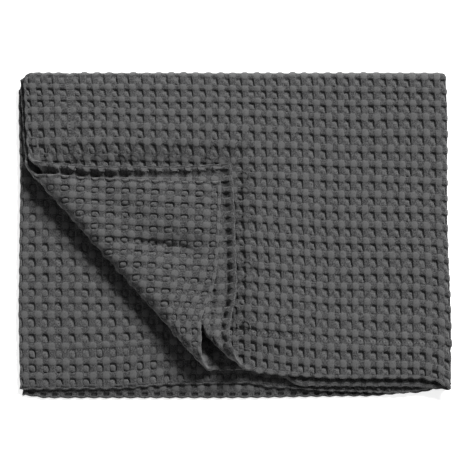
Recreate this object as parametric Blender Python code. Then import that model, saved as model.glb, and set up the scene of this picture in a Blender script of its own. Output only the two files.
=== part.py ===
"""Waffle weave cotton blanket, folded in quarters, with one corner turned over.

One piece of cloth is one closed solid. The script cuts the cloth's flat pattern, creases it
where it will bend, then lays every point of it where the folding puts it:

1. across the width the cloth is folded at the right, so the second layer runs back below the top;
2. along its length both layers are folded over the far side, so layers three and four lie below;
3. the near left corner of the two upper layers is turned up and over, towards the far right.

On the pattern, u runs along the width from the top layer's left hem (0), round the right fold
and back to the second layer's left hem. v runs along the length from the top layer's near hem
(0), over the far fold and back to the fourth layer's near hem.

Metres, +Z up. The blanket lies on z = 0, and its far fold is towards +Y.
"""
import math

import bmesh
import bpy
import numpy as np

# ---- The cloth -----------------------------------------------------------------------------
CLOTH_WIDTH = 1.000
CLOTH_LENGTH = 0.750
THICKNESS = 0.003          # a waffle weave is this thick over its ridges
LAYER_PITCH = 0.005        # from one layer's middle to the next one's

# ---- The quarter fold ----------------------------------------------------------------------
SIDE_FOLD_AT = 0.4965      # how far from the top layer's left hem the right fold lies, along u
FAR_FOLD_AT = 0.3655       # how far from the top layer's near hem the far fold lies, along v
SIDE_FOLD_RADIUS = LAYER_PITCH / 2
FAR_FOLD_RADIUS = LAYER_PITCH
SIDE_FOLD_X = 0.2460       # where the right fold begins to bend
FAR_FOLD_Y = 0.1857        # where the far fold begins to bend
STACK_MIDDLE = THICKNESS / 2 + SIDE_FOLD_RADIUS + FAR_FOLD_RADIUS
FOOTPRINT_MIDDLE = (-0.0028, 0.0006)   # moved to the origin at the end

# ---- How unevenly the layers lie, in metres -------------------------------------------------
# Each left hem's shift to the right, by its place along Y: (y, shift)
LEFT_HEM_SHIFT = {
    "top": ((-0.190, 0.010), (-0.120, 0.0145), (-0.020, 0.0140), (0.050, 0.0105), (0.083, 0.0066),
            (0.093, 0.0036), (0.111, 0.0010), (0.135, -0.0010), (0.190, -0.0040)),
    "second": ((-0.190, 0.010), (-0.100, 0.0130), (0.055, 0.0125), (0.082, 0.0073), (0.120, 0.0030),
               (0.190, -0.0014)),
    "third": ((-0.190, 0.0042), (-0.080, 0.0013), (0.040, 0.0008), (0.172, -0.0030), (0.182, 0.0020)),
    "fourth": ((-0.190, 0.0), (0.172, -0.0033), (0.182, 0.0020)),
}
# Each near hem's shift away from the viewer, by its place along X: (x, shift)
NEAR_HEM_SHIFT = {
    "top": ((-0.250, -0.012), (-0.060, 0.0), (0.008, 0.009), (0.029, 0.005), (0.060, 0.002), (0.120, -0.001),
            (0.215, -0.001), (0.232, -0.0044), (0.250, -0.0135)),
    "second": ((-0.250, -0.012), (-0.085, -0.0100), (-0.045, 0.002), (-0.020, 0.0095), (0.008, 0.0100),
               (0.029, 0.0065), (0.047, 0.0040), (0.076, -0.0090), (0.200, -0.0095), (0.250, -0.0135)),
    "third": ((-0.250, 0.0066), (-0.150, 0.0072), (-0.060, 0.0126), (0.012, 0.0140), (0.046, 0.0087),
              (0.120, 0.0046), (0.190, 0.0025), (0.250, 0.0110)),
    "fourth": ((-0.250, 0.0010), (-0.217, -0.0026), (-0.017, -0.0026), (0.150, -0.0005), (0.210, 0.0035),
               (0.250, 0.0115)),
}
HEM_SHIFT_FADE = 2.0       # power with which a hem's shift dies out towards the fold
SIDE_FOLD_WANDER = 0.0010  # how far the right fold wanders to either side of straight
SIDE_FOLD_WAVES = 1.6      # how many times it does so along its length
FOLD_END_TUCK = 0.0070     # how far the far fold's left end is rounded in
FOLD_END_POWER = 20        # power with which that dies out away from the end
TOP_PUFF = 0.0005          # height of the top layer's low, loose swells
PUFF_WAVES = ((23.0, 9.0), (-7.0, 31.0))   # how fast the two waves that make them run along X and Y
PUFF_FADE = 0.4            # distance over which they die out towards the near hem

# The top layer's near hem gapes from the second layer, over this depth from the hem: (x, share of the gape)
GAPE_HEIGHT = 0.0008
GAPE_DEPTH = 0.080
GAPE_SHAPE = ((0.010, 0.0), (0.075, 0.9), (0.120, 1.0), (0.185, 0.8), (0.243, 0.0))

# ---- The corner turned over ----------------------------------------------------------------
# The roll's outermost line for each of the two layers, from the left hem to the near hem
TURN_LINE = {
    "top": ((-0.2397, 0.0822), (0.0069, -0.1625)),
    "second": ((-0.2455, 0.0762), (-0.0355, -0.1602)),
}
# Where the cloth's corner comes to lie on each of the two layers
TURNED_CORNER = {"top": (-0.0060, 0.0800), "second": (-0.0165, 0.0575)}
# How much higher than at rest the flap stands at its roll, from its left end (0) to its near end (1)
ROLL_LOFT = ((0.0, 0.008), (0.45, 0.004), (1.0, 0.009))
LOFT_FADE = 0.034          # distance over which the flap comes down from its roll
FLAP_SWELL = 0.0065        # how much higher than at rest its middle stands
FLAP_EDGE_FADE = 0.050     # distance over which it comes down to its edges
# The shallow trough across the flap: its share by place along X, and its shape along Y
TROUGH_ACROSS = ((-0.200, 0.2), (-0.130, 0.5), (-0.085, 1.0), (-0.045, 1.0), (-0.005, 0.5))
TROUGH_ALONG = ((-0.060, 0.0), (-0.020, 1.0), (0.004, 0.0))

# The near hem droops to the left beside the roll: (how far, about which y, over what span)
HEM_DROOP = {"top": (0.013, -0.118, 0.032), "second": (0.016, -0.112, 0.036)}
DROOP_DEPTH = 0.075        # distance from the hem over which that dies out

# ---- The mesh ------------------------------------------------------------------------------
FOLD_STEPS = 8             # facets round each of the two long folds
ROLL_STEPS = 10            # facets round the turned corner's roll
LINES_BEFORE_ROLL = 1      # crease lines that lie flat before the roll, and after it
LINES_AFTER_ROLL = 2
CELLS_ACROSS = 26          # of the plain grid, over each half of the width
CELLS_ALONG = 20           # and over each half of the length

HALF_SIDE_TURN = math.pi * SIDE_FOLD_RADIUS / 2
HALF_FAR_TURN = math.pi * FAR_FOLD_RADIUS / 2
SIDE_STRAIGHT = SIDE_FOLD_AT - HALF_SIDE_TURN
FAR_STRAIGHT = FAR_FOLD_AT - HALF_FAR_TURN
TOP_LEVEL = STACK_MIDDLE + FAR_FOLD_RADIUS + SIDE_FOLD_RADIUS


def smooth_table(table, at):
    """The second column of a table at the places given, eased from each row to the next."""
    place, value = np.array(table).T
    row = np.clip(np.searchsorted(place, at) - 1, 0, len(place) - 2)
    share = np.clip((at - place[row]) / (place[row + 1] - place[row]), 0.0, 1.0)
    share = share * share * (3 - 2 * share)
    return value[row] + share * (value[row + 1] - value[row])


def fade(distance, reach):
    """1 at no distance, falling smoothly to 0 at the reach and beyond."""
    left = np.clip(1 - distance / reach, 0.0, 1.0)
    return left * left * (3 - 2 * left)


def rise(value, low, high):
    """0 below low, 1 above high, and smooth between."""
    share = np.clip((value - low) / (high - low), 0.0, 1.0)
    return share * share * (3 - 2 * share)


def across_fold(u):
    """Place along X and height in the pair of layers, as the cloth turns down at the right."""
    angle = np.clip((u - SIDE_STRAIGHT) / (2 * HALF_SIDE_TURN), 0.0, 1.0) * math.pi
    over = np.clip(u - SIDE_STRAIGHT - 2 * HALF_SIDE_TURN, 0.0, None)
    x = SIDE_FOLD_X + np.minimum(u - SIDE_STRAIGHT, 0.0) - over + SIDE_FOLD_RADIUS * np.sin(angle)
    return x, angle


def along_fold(v):
    """Place along Y, as the pair of layers turns down over the far side."""
    angle = np.clip((v - FAR_STRAIGHT) / (2 * HALF_FAR_TURN), 0.0, 1.0) * math.pi
    over = np.clip(v - FAR_STRAIGHT - 2 * HALF_FAR_TURN, 0.0, None)
    y = FAR_FOLD_Y + np.minimum(v - FAR_STRAIGHT, 0.0) - over
    return y, angle


def by_layer(tables, at, is_front, is_upper):
    """One value from the four layers' tables, blended round the folds that join them."""
    upper = smooth_table(tables["top"], at) * is_front + smooth_table(tables["second"], at) * (1 - is_front)
    lower = smooth_table(tables["fourth"], at) * is_front + smooth_table(tables["third"], at) * (1 - is_front)
    return upper * is_upper + lower * (1 - is_upper)


def quarter_fold(u, v):
    """The cloth folded in quarters, before its corner is turned."""
    x, side = across_fold(u)
    y, far = along_fold(v)
    height_in_pair = SIDE_FOLD_RADIUS * np.cos(side)
    is_front = (1 + np.cos(side)) / 2          # 1 on layers one and four
    is_upper = (1 + np.cos(far)) / 2           # 1 on layers one and two
    from_side_fold = np.clip((SIDE_FOLD_X - x) / SIDE_STRAIGHT, 0.0, 1.0)
    from_far_fold = np.clip((FAR_FOLD_Y - y) / FAR_STRAIGHT, 0.0, 1.0)
    left_shift = by_layer(LEFT_HEM_SHIFT, y, is_front, is_upper) * from_side_fold ** HEM_SHIFT_FADE
    near_shift = by_layer(NEAR_HEM_SHIFT, x, is_front, is_upper) * from_far_fold ** HEM_SHIFT_FADE
    wander = SIDE_FOLD_WANDER * np.sin(SIDE_FOLD_WAVES * 2 * math.pi * from_far_fold)
    out = FAR_FOLD_RADIUS + height_in_pair
    z = STACK_MIDDLE + out * np.cos(far)
    on_top = is_front * is_upper
    z = z + on_top * GAPE_HEIGHT * smooth_table(GAPE_SHAPE, x) * fade(v, GAPE_DEPTH)
    puff = np.prod([np.sin(along_x * x + along_y * y) for along_x, along_y in PUFF_WAVES], axis=0)
    z = z + on_top * TOP_PUFF * puff * fade(-y, PUFF_FADE)
    tuck = FOLD_END_TUCK * np.sin(far) ** 2 * from_side_fold ** FOLD_END_POWER
    x = x + left_shift + wander * (1 - from_side_fold) + tuck
    y = y + near_shift + out * np.sin(far)
    return x, y, z


def turn_frame(layer):
    """The roll's line on a layer: its start, its direction, and the way out to the corner."""
    start, end = (np.array(point) for point in TURN_LINE[layer])
    length = np.linalg.norm(end - start)
    along = (end - start) / length
    outward = np.array((along[1], -along[0]))
    return start, along, outward, length


def roll_loft(along_share):
    """How high the flap stands at its roll, from the roll's left end to its near end."""
    return smooth_table(ROLL_LOFT, along_share)


def roll_radius(layer, along_share):
    """The roll's radius: it takes the layer from its level to where its flap lies."""
    lift = (LAYER_PITCH if layer == "top" else 3 * LAYER_PITCH) + roll_loft(along_share)
    return lift / 2


def flap_rise(x, y):
    """How much the flap stands above its level of rest, over the place given."""
    start, along, outward, length = turn_frame("top")
    along_share = ((x - start[0]) * along[0] + (y - start[1]) * along[1]) / length
    inside = -((x - start[0]) * outward[0] + (y - start[1]) * outward[1])
    inside = np.clip(inside - roll_radius("top", along_share), 0.0, None)
    lofted = roll_loft(along_share) * fade(inside, LOFT_FADE)
    corner_x, corner_y = TURNED_CORNER["top"]
    swell = rise(np.minimum(corner_x - x, corner_y - y), 0.0, FLAP_EDGE_FADE)
    swell = swell * (1 - fade(inside, 2 * LOFT_FADE))
    trough = smooth_table(TROUGH_ACROSS, x) * smooth_table(TROUGH_ALONG, y)
    return lofted + FLAP_SWELL * swell * (1 - trough)


def turned_corner(layer, x, y, z):
    """The layer's corner turned up about its roll and laid back over the blanket."""
    start, along, outward, length = turn_frame(layer)

    def on_line(px, py):
        """Place along the roll, distance out past where the roll begins, and its radius."""
        run = (px - start[0]) * along[0] + (py - start[1]) * along[1]
        radius = roll_radius(layer, run / length)
        past = (px - start[0]) * outward[0] + (py - start[1]) * outward[1] + radius + THICKNESS / 2
        return run, past, radius

    corner = quarter_fold(*np.array(((0.0 if layer == "top" else CLOTH_WIDTH,), (0.0,))))
    corner_run, corner_past, corner_radius = (float(part[0]) for part in on_line(corner[0], corner[1]))
    goal_run, goal_past = on_line(*TURNED_CORNER[layer])[:2]
    slide = (goal_run - corner_run) / corner_past
    stretch = -goal_past / (corner_past - math.pi * corner_radius)

    run, past, radius = on_line(x, y)
    angle = np.clip(past / radius, 0.0, math.pi)
    back = np.clip(past - math.pi * radius, 0.0, None) * stretch
    out = radius * np.sin(angle) - back
    slid = slide * np.clip(past, 0.0, None)
    begin = np.minimum(past, 0.0) - radius - THICKNESS / 2 + out
    turned_x = start[0] + (run + slid) * along[0] + begin * outward[0]
    turned_y = start[1] + (run + slid) * along[1] + begin * outward[1]
    level = TOP_LEVEL + LAYER_PITCH if layer == "top" else TOP_LEVEL + 2 * LAYER_PITCH
    up = (1 - np.cos(angle)) / 2
    turned_z = z + (level + flap_rise(turned_x, turned_y) - z) * up
    is_turned = past > 0.0
    return (np.where(is_turned, turned_x, x), np.where(is_turned, turned_y, y),
            np.where(is_turned, turned_z, z), np.where(is_turned, angle / math.pi, 0.0))


def droop(layer, y, v, turned):
    """The near hem's sideways droop beside the roll, as a shift along X."""
    far, about, span = HEM_DROOP[layer]
    return -far * turned ** 2 * np.exp(-((y - about) / span) ** 2) * fade(v, DROOP_DEPTH)


def lay(u, v):
    """Where the middle of the cloth's thickness lies, for each point of its pattern."""
    x, y, z = quarter_fold(u, v)
    for layer, is_layer in (("top", u < SIDE_FOLD_AT), ("second", u >= SIDE_FOLD_AT)):
        tx, ty, tz, turned = turned_corner(layer, x, y, z)
        tx = tx + droop(layer, ty, v, turned)
        here = is_layer & (v < FAR_STRAIGHT) & (turned > 0.0)
        x, y, z = np.where(here, tx, x), np.where(here, ty, y), np.where(here, tz, z)
    return np.stack((x - FOOTPRINT_MIDDLE[0], y - FOOTPRINT_MIDDLE[1], z), axis=-1)


def cloth_normals(u, v, step=2e-4):
    """The way the cloth's right side faces, at each point of its pattern."""
    inside_u = np.clip(u, step, CLOTH_WIDTH - step)
    inside_v = np.clip(v, step, CLOTH_LENGTH - step)
    across = lay(inside_u + step, inside_v) - lay(inside_u - step, inside_v)
    along = lay(inside_u, inside_v + step) - lay(inside_u, inside_v - step)
    normal = np.cross(across, along)
    return normal / np.linalg.norm(normal, axis=-1, keepdims=True)


def grid_lines(straight, turn, total, cells):
    """The plain grid's lines along one side of the pattern, with a fold's turn stepped round."""
    before = np.linspace(0.0, straight, cells + 1)
    round_fold = np.linspace(straight, straight + turn, FOLD_STEPS + 1)[1:]
    after = np.linspace(straight + turn, total, cells + 1)[1:]
    return np.concatenate((before, round_fold, after))


def pattern_mesh():
    """The flat pattern as a triangle mesh, creased along the folds and round the roll."""
    pattern = bmesh.new()
    across = grid_lines(SIDE_STRAIGHT, 2 * HALF_SIDE_TURN, CLOTH_WIDTH, CELLS_ACROSS)
    along = grid_lines(FAR_STRAIGHT, 2 * HALF_FAR_TURN, CLOTH_LENGTH, CELLS_ALONG)
    rows = [[pattern.verts.new((u, v, 0.0)) for u in across] for v in along]
    for low, high in zip(rows[:-1], rows[1:]):
        for column in range(len(across) - 1):
            pattern.faces.new((low[column], low[column + 1], high[column + 1], high[column]))
    for layer in ("top", "second"):
        crease_roll(pattern, layer)
    bmesh.ops.triangulate(pattern, faces=pattern.faces[:])
    return pattern


def crease_roll(pattern, layer):
    """Cuts the pattern along lines side by side, where the turned corner's roll bends it."""
    start, along, outward, length = turn_frame(layer)
    side = 1.0 if layer == "top" else -1.0
    left_hem_x = SIDE_FOLD_X - SIDE_STRAIGHT if layer == "top" else (
        SIDE_FOLD_X - (CLOTH_WIDTH - SIDE_STRAIGHT - 2 * HALF_SIDE_TURN))
    hem_u = 0.0 if layer == "top" else CLOTH_WIDTH
    near_y = FAR_FOLD_Y - FAR_STRAIGHT
    for step in range(-LINES_BEFORE_ROLL, ROLL_STEPS + LINES_AFTER_ROLL + 1):
        points = []
        for share in (0.0, 1.0):
            point = start + along * length * share
            radius = roll_radius(layer, share)
            place = point + outward * (radius * (math.pi * step / ROLL_STEPS - 1) - THICKNESS / 2)
            points.append((hem_u + side * (place[0] - left_hem_x), place[1] - near_y))
        (u0, v0), (u1, v1) = points
        limit = [face for face in pattern.faces
                 if (face.calc_center_median()[0] < SIDE_FOLD_AT) == (layer == "top")
                 and face.calc_center_median()[1] < FAR_STRAIGHT]
        parts = set(limit)
        for face in limit:
            parts.update(face.edges)
            parts.update(face.verts)
        bmesh.ops.bisect_plane(pattern, geom=list(parts), dist=THICKNESS / 4,
                               plane_co=(u0, v0, 0.0), plane_no=(v1 - v0, u0 - u1, 0.0))


def thick_cloth(pattern, name):
    """The pattern laid in its folds, with both its sides and a closed rim, as one solid."""
    pattern.verts.ensure_lookup_table()
    pattern.verts.index_update()
    flat = np.array([vert.co for vert in pattern.verts])
    middle = lay(flat[:, 0], flat[:, 1])
    normal = cloth_normals(flat[:, 0], flat[:, 1])
    count = len(flat)
    right_side = middle + normal * THICKNESS / 2
    wrong_side = middle - normal * THICKNESS / 2
    faces = [tuple(vert.index for vert in face.verts) for face in pattern.faces]
    solid = faces + [tuple(count + index for index in reversed(face)) for face in faces]
    for edge in pattern.edges:
        if edge.is_boundary:
            loop = edge.link_loops[0]
            first, second = loop.vert.index, loop.link_loop_next.vert.index
            solid.append((second, first, count + first))
            solid.append((second, count + first, count + second))
    mesh = bpy.data.meshes.new(name)
    mesh.from_pydata(np.concatenate((right_side, wrong_side)).tolist(), [], solid)
    mesh.validate()
    return mesh


def cotton():
    """Charcoal grey cotton yarn."""
    material = bpy.data.materials.new("charcoal_cotton")
    material.use_nodes = True
    shader = material.node_tree.nodes["Principled BSDF"]
    shader.inputs["Base Color"].default_value = (0.105, 0.108, 0.112, 1.0)
    shader.inputs["Roughness"].default_value = 0.92
    shader.inputs["Metallic"].default_value = 0.0
    return material


def clear_scene():
    for thing in list(bpy.data.objects):
        bpy.data.objects.remove(thing, do_unlink=True)


def build_blanket():
    pattern = pattern_mesh()
    mesh = thick_cloth(pattern, "blanket")
    pattern.free()
    blanket = bpy.data.objects.new("blanket", mesh)
    blanket.data.materials.append(cotton())
    bpy.context.scene.collection.objects.link(blanket)
    return blanket


clear_scene()
build_blanket()
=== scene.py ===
"""The looks of a folded waffle weave cotton blanket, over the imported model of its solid.

The cloth is laid in the same folds as the solid, but with its weave as real relief: a raised
float where the ribs cross, low ribs between, and a sunk cell with a small knot of yarn in it.
It is made in panels, a few for each folded layer, that meet exactly, so that the panels that
show can be finer than the hidden ones.

On the flat cloth, u runs along the width from the top layer's left hem (0), round the right
fold and back to the second layer's left hem. v runs along the length from the top layer's near
hem (0), over the far fold and back to the fourth layer's near hem. Metres, +Z up.
"""
import math

import bpy
import numpy as np
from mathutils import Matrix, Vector


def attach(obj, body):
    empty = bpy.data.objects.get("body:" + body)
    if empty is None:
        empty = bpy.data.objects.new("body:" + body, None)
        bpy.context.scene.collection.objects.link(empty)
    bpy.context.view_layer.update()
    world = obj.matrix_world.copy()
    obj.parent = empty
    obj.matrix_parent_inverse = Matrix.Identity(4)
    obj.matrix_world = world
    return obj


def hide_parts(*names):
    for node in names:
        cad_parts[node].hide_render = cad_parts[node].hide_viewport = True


# ---- The cloth, as in the solid ------------------------------------------------------------
CLOTH_WIDTH = 1.000
CLOTH_LENGTH = 0.750
THICKNESS = 0.003
LAYER_PITCH = 0.005        # from one layer's middle to the next one's

SIDE_FOLD_AT = 0.4965      # how far from the top layer's left hem the right fold lies, along u
FAR_FOLD_AT = 0.3655       # how far from the top layer's near hem the far fold lies, along v
SIDE_FOLD_RADIUS = LAYER_PITCH / 2
FAR_FOLD_RADIUS = LAYER_PITCH
SIDE_FOLD_X = 0.2460       # where the right fold begins to bend
FAR_FOLD_Y = 0.1857        # where the far fold begins to bend
STACK_MIDDLE = THICKNESS / 2 + SIDE_FOLD_RADIUS + FAR_FOLD_RADIUS
FOOTPRINT_MIDDLE = (-0.0028, 0.0006)

# Each left hem's shift to the right, by its place along Y
LEFT_HEM_SHIFT = {
    "top": ((-0.190, 0.010), (-0.120, 0.0145), (-0.020, 0.0140), (0.050, 0.0105), (0.083, 0.0066),
            (0.093, 0.0036), (0.111, 0.0010), (0.135, -0.0010), (0.190, -0.0040)),
    "second": ((-0.190, 0.010), (-0.100, 0.0130), (0.055, 0.0125), (0.082, 0.0073), (0.120, 0.0030),
               (0.190, -0.0014)),
    "third": ((-0.190, 0.0042), (-0.080, 0.0013), (0.040, 0.0008), (0.172, -0.0030), (0.182, 0.0020)),
    "fourth": ((-0.190, 0.0), (0.172, -0.0033), (0.182, 0.0020)),
}
# Each near hem's shift away from the viewer, by its place along X
NEAR_HEM_SHIFT = {
    "top": ((-0.250, -0.012), (-0.060, 0.0), (0.008, 0.009), (0.029, 0.005), (0.060, 0.002), (0.120, -0.001),
            (0.215, -0.001), (0.232, -0.0044), (0.250, -0.0135)),
    "second": ((-0.250, -0.012), (-0.085, -0.0100), (-0.045, 0.002), (-0.020, 0.0095), (0.008, 0.0100),
               (0.029, 0.0065), (0.047, 0.0040), (0.076, -0.0090), (0.200, -0.0095), (0.250, -0.0135)),
    "third": ((-0.250, 0.0066), (-0.150, 0.0072), (-0.060, 0.0126), (0.012, 0.0140), (0.046, 0.0087),
              (0.120, 0.0046), (0.190, 0.0025), (0.250, 0.0110)),
    "fourth": ((-0.250, 0.0010), (-0.217, -0.0026), (-0.017, -0.0026), (0.150, -0.0005), (0.210, 0.0035),
               (0.250, 0.0115)),
}
HEM_SHIFT_FADE = 2.0       # power with which a hem's shift dies out towards the fold
SIDE_FOLD_WANDER = 0.0010  # how far the right fold wanders to either side of straight
SIDE_FOLD_WAVES = 1.6      # how many times it does so along its length
FOLD_END_TUCK = 0.0070     # how far the far fold's left end is rounded in
FOLD_END_POWER = 20        # power with which that dies out away from the end
TOP_PUFF = 0.0005          # height of the top layer's low, loose swells
PUFF_WAVES = ((23.0, 9.0), (-7.0, 31.0))   # how fast the two waves that make them run along X and Y
PUFF_FADE = 0.4            # distance over which they die out towards the near hem

# How the top layer's near hem gapes: how high, how far in, and its share by place along X
GAPE_HEIGHT = 0.0008
GAPE_DEPTH = 0.080
GAPE_SHAPE = ((0.010, 0.0), (0.075, 0.9), (0.120, 1.0), (0.185, 0.8), (0.243, 0.0))

# The turned corner's roll on each of the two layers, from the left hem to the near hem
TURN_LINE = {
    "top": ((-0.2397, 0.0822), (0.0069, -0.1625)),
    "second": ((-0.2455, 0.0762), (-0.0355, -0.1602)),
}
# Where the cloth's corner comes to lie
TURNED_CORNER = {"top": (-0.0060, 0.0800), "second": (-0.0165, 0.0575)}
# How much higher than at rest the flap stands at its roll, from its left end (0) to its near end (1)
ROLL_LOFT = ((0.0, 0.008), (0.45, 0.004), (1.0, 0.009))
LOFT_FADE = 0.034          # distance over which it comes down from its roll
FLAP_SWELL = 0.0065        # how much higher than at rest its middle stands
FLAP_EDGE_FADE = 0.050     # distance over which it comes down to its edges
# The shallow trough across the flap: its share by place along X, and its shape along Y
TROUGH_ACROSS = ((-0.200, 0.2), (-0.130, 0.5), (-0.085, 1.0), (-0.045, 1.0), (-0.005, 0.5))
TROUGH_ALONG = ((-0.060, 0.0), (-0.020, 1.0), (0.004, 0.0))
# The near hem droops to the left beside the roll: how far, about which y, and over what span
HEM_DROOP = {"top": (0.013, -0.118, 0.032), "second": (0.016, -0.112, 0.036)}
DROOP_DEPTH = 0.075        # distance from the hem over which that dies out

HALF_SIDE_TURN = math.pi * SIDE_FOLD_RADIUS / 2
HALF_FAR_TURN = math.pi * FAR_FOLD_RADIUS / 2
SIDE_STRAIGHT = SIDE_FOLD_AT - HALF_SIDE_TURN
FAR_STRAIGHT = FAR_FOLD_AT - HALF_FAR_TURN
TOP_LEVEL = STACK_MIDDLE + FAR_FOLD_RADIUS + SIDE_FOLD_RADIUS
FLAP_ABOVE = TOP_LEVEL + LAYER_PITCH / 2       # what lies higher than this is the flap

# ---- How the laid cloth sags and curls -----------------------------------------------------
FLAP_CORNER = (-0.0032, 0.0794)    # where the flap's outer corner comes to lie
# How far the top layer is lifted or pressed about the flap, by distance outside its edges
FLAP_RIDGE = ((-0.010, -0.0014), (0.002, -0.0012), (0.028, 0.0046), (0.044, 0.0042), (0.125, 0.0))
RIDGE_ALONG = (-0.150, -0.110)     # where that comes on, along Y
RIDGE_ENDS = (0.200, 0.240)        # and where it ends, to either side
# How far the flap's hem curls up, by how far along the hem a place is from the cloth's corner
EDGE_CURL = ((0.0, 0.0010), (0.030, 0.0026), (0.090, 0.0036), (0.140, 0.0062), (0.230, 0.0068),
             (0.280, 0.0040))
CURL_FLAT = 0.0052                 # nearer its edge than this it is curled up in full
CURL_REACH = 0.0100                # and beyond this it doesn't curl
LIP = 0.0036                       # nearer its edge than this its wrong side is smooth
EDGE_OUT = 0.0014                  # how far that edge is drawn outwards
EDGE_OUT_REACH = 0.016             # and how far in from the edge that reaches

# A crease across the flap, with a dent below it: where it runs, and how deep the dent is
CREASE = ((-0.155, -0.0067), (-0.100, -0.0090), (-0.060, -0.0145), (-0.040, -0.0205))
DENT = ((-0.165, 0.0), (-0.130, 0.0014), (-0.095, 0.0030), (-0.055, 0.0034), (-0.028, 0.0))
DENT_STEP = 0.0055                 # the dent is deepest this far below the crease
DENT_REACH = 0.032                 # and ends this far below it

HEM_SAG = {"top": 0.0013, "third": 0.0014}     # how far these near hems sag onto the layer below
HEM_SAG_DEPTH = 0.040                          # and how far in from their edges
SECOND_HEM_DIP = 0.0016                        # how far the second one dips, where it sticks out
SECOND_HEM_DIP_DEPTH = 0.012
TOP_SAG_STARTS = (0.0, 0.05)       # where along X that sag comes on, beside the roll
SECOND_DIP_STARTS = (0.0, 0.03)    # and that dip
SAG_ENDS = (0.215, 0.243)          # where they end, before the right fold

# ---- The weave -----------------------------------------------------------------------------
CELL_WIDTH = 0.0142        # from one float to the next, along u
CELL_LENGTH = 0.0183       # and along v
FIRST_FLOAT_U = 0.0027     # where the floats nearest the hems lie
FIRST_FLOAT_V = 0.0021
HEM_WIDTH = 0.0575         # the turned hem along the top layer's left side
SECOND_HEM_WIDTH = 0.044   # along the second layer's
HEM_LENGTH = 0.048         # and along the near sides
SECOND_PHASE = 0.0046      # how much nearer its edge the weave lies at the second and third layers
PHASE_TURN = (0.52, 0.70)  # coming on between these places along u
# How far the third layer's weave is stretched along u, coming on by v
THIRD_STRETCH = ((0.50, 0.0), (0.68, -0.0341), (1.0, 0.0019))
THIRD_STRETCH_TURN = (0.38, 0.56)

FLOAT_RISE = 0.0013        # the float's crown stands this high above the ribs between floats
FLOAT_HALF = (0.29, 0.265)    # half sizes, as shares of a cell
FLOAT_SQUARE = 2.6         # how square it is: 2 would be round
CELL_SINK = 0.0033         # the groove round the sunk cell's knot, below the plain face
# Half sizes of the cells and their knots, as shares of a cell: the top layer, second and third
CELL_HALF = ((0.270, 0.325), (0.270, 0.330), (0.295, 0.350))
CELL_SQUARE = (6.0, 3.0)   # how square they are on the top layer, and on the others
WALL_START = 0.80          # a cell's steep wall begins this far out from its middle
WALL_END = 1.04            # and ends this far out
THIRD_SHARE = 0.88         # how deep the third layer's cells are, beside the others'
CELL_SKEW = 0.08           # how far a cell leans over, for each unit along it
KNOT_RISE = 0.0032         # the knot of yarn's crown above that groove
KNOT_HALF = ((0.215, 0.225), (0.215, 0.275), (0.228, 0.258))
KNOT_SQUARE = (4.0, 2.8)
KNOT_FLAT = 3.0            # how flat its crown is: 2 would be round
KNOT_PULL = (0.075, 0.098)    # how far a knot lies off its cell's middle
LOW_HEM_PULL_LESS = 0.7    # how much less it does in the third layer's near hem
HEM_SHALLOW = 0.08         # how much shallower the weave is in the double cloth of a hem
HEM_STEP = (0.94, 1.0)     # where the double cloth ends, counted in hem widths, as the next bands are
HEM_FLAT_FROM = (0.78, 0.88)
HEM_FLAT = 0.25            # how much flatter the weave is from there to the stitches
BESIDE_HEM = (1.0, 1.08, 1.22, 1.35)
BESIDE_HEM_DEEPER = 0.25   # how much deeper it is there, beside the hem
STITCH_DIP = 0.0008        # how deep the hem's row of stitches pulls the cloth in
STITCH_WIDTH = 0.0022
STITCH_LENGTH = 0.0036
STITCH_ENDS = (0.12, 0.22)     # where a stitch comes out of the cloth, as shares of its length
THREAD_WIDTH = 0.0011
STITCH_FLAT = 0.0040       # how far from its stitches the weave is flattened
STITCH_FLATTER = 0.7       # and how much, at the stitches
SECOND_HEM_FLAT = 0.35     # the share of that along the second layer's left hem
EDGE_ROUND = 0.0018        # how far in from a hem's edge the cloth reaches its full thickness
EDGE_THINNEST = 0.3        # the share of it that it has at the edge itself
WRONG_SHARE = 0.90         # how deep the wrong side's weave is, beside the right side's
MITRE_DIP = 0.0010         # the seam across each mitred corner of the hem
MITRE_WIDTH = 0.0024
EDGE_BEAD = 0.0006         # how much thicker the hem's edge is
BEAD_WIDTH = 0.0034
EDGE_CALM = 0.0085         # floats are pressed flat nearer a hem's edge than this
# How far, in cells, a near hem's cells lie nearer its edge on the wrong side: layers 1, 2 and 4
HEM_CELL_SHIFT = (0.31, -0.05, 0.16)
HEM_CELL_SHARE = (0.55, 0.36, 0.36)    # how long those cells are, beside the others
HEM_CELL_DEPTH = (1.0, 1.2, 1.5)       # and how deep
HEM_KNOTS = 0.10           # and how high their knots are
LEFT_HEM_SHIFT_CELLS = 0.56    # how far, in cells, the top layer's left hem's cells lie nearer its edge
LEFT_HEM_KNOTS = 0.45      # and how high their knots are
LEAST_THICKNESS = 0.0002   # where a pit of the lowest layer is deepest
HEM_TAPER = (EDGE_ROUND, 0.0065, 0.0024)       # how far in from the near edge each is thinned there
NEAR_FLAP_DEEPER = 0.80    # how much deeper the cells are close beside the flap
NEAR_FLAP = 0.010          # how far from it they are deepest
CREASE_DEEPER = 0.60       # how much deeper they are in the row along the flap's crease
CREASE_ROW = (0.928, 0.010)    # where that row lies along u, and how far to either side it reaches
CREASE_SPAN = (0.045, 0.060, 0.140, 0.155)     # where it comes on and where it ends, along v

SCALLOP = 0.0006           # how far the hem's edge swells out beside each float
SCALLOP_REACH = 0.010      # and how far in from the edge that reaches

# How unevenly the weave lies: seeded, so that it is the same each time
SEED = 11
# How far the rows lean away from straight across: by v, times a share by u
ROW_LEAN = ((0.0, 0.012), (0.10, 0.012), (0.28, 0.0105), (0.36, 0.004), (0.42, 0.0))
LEAN_ACROSS = ((0.0, 0.5), (0.5, -0.5), (0.7, -0.38), (1.0, -0.38))
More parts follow.
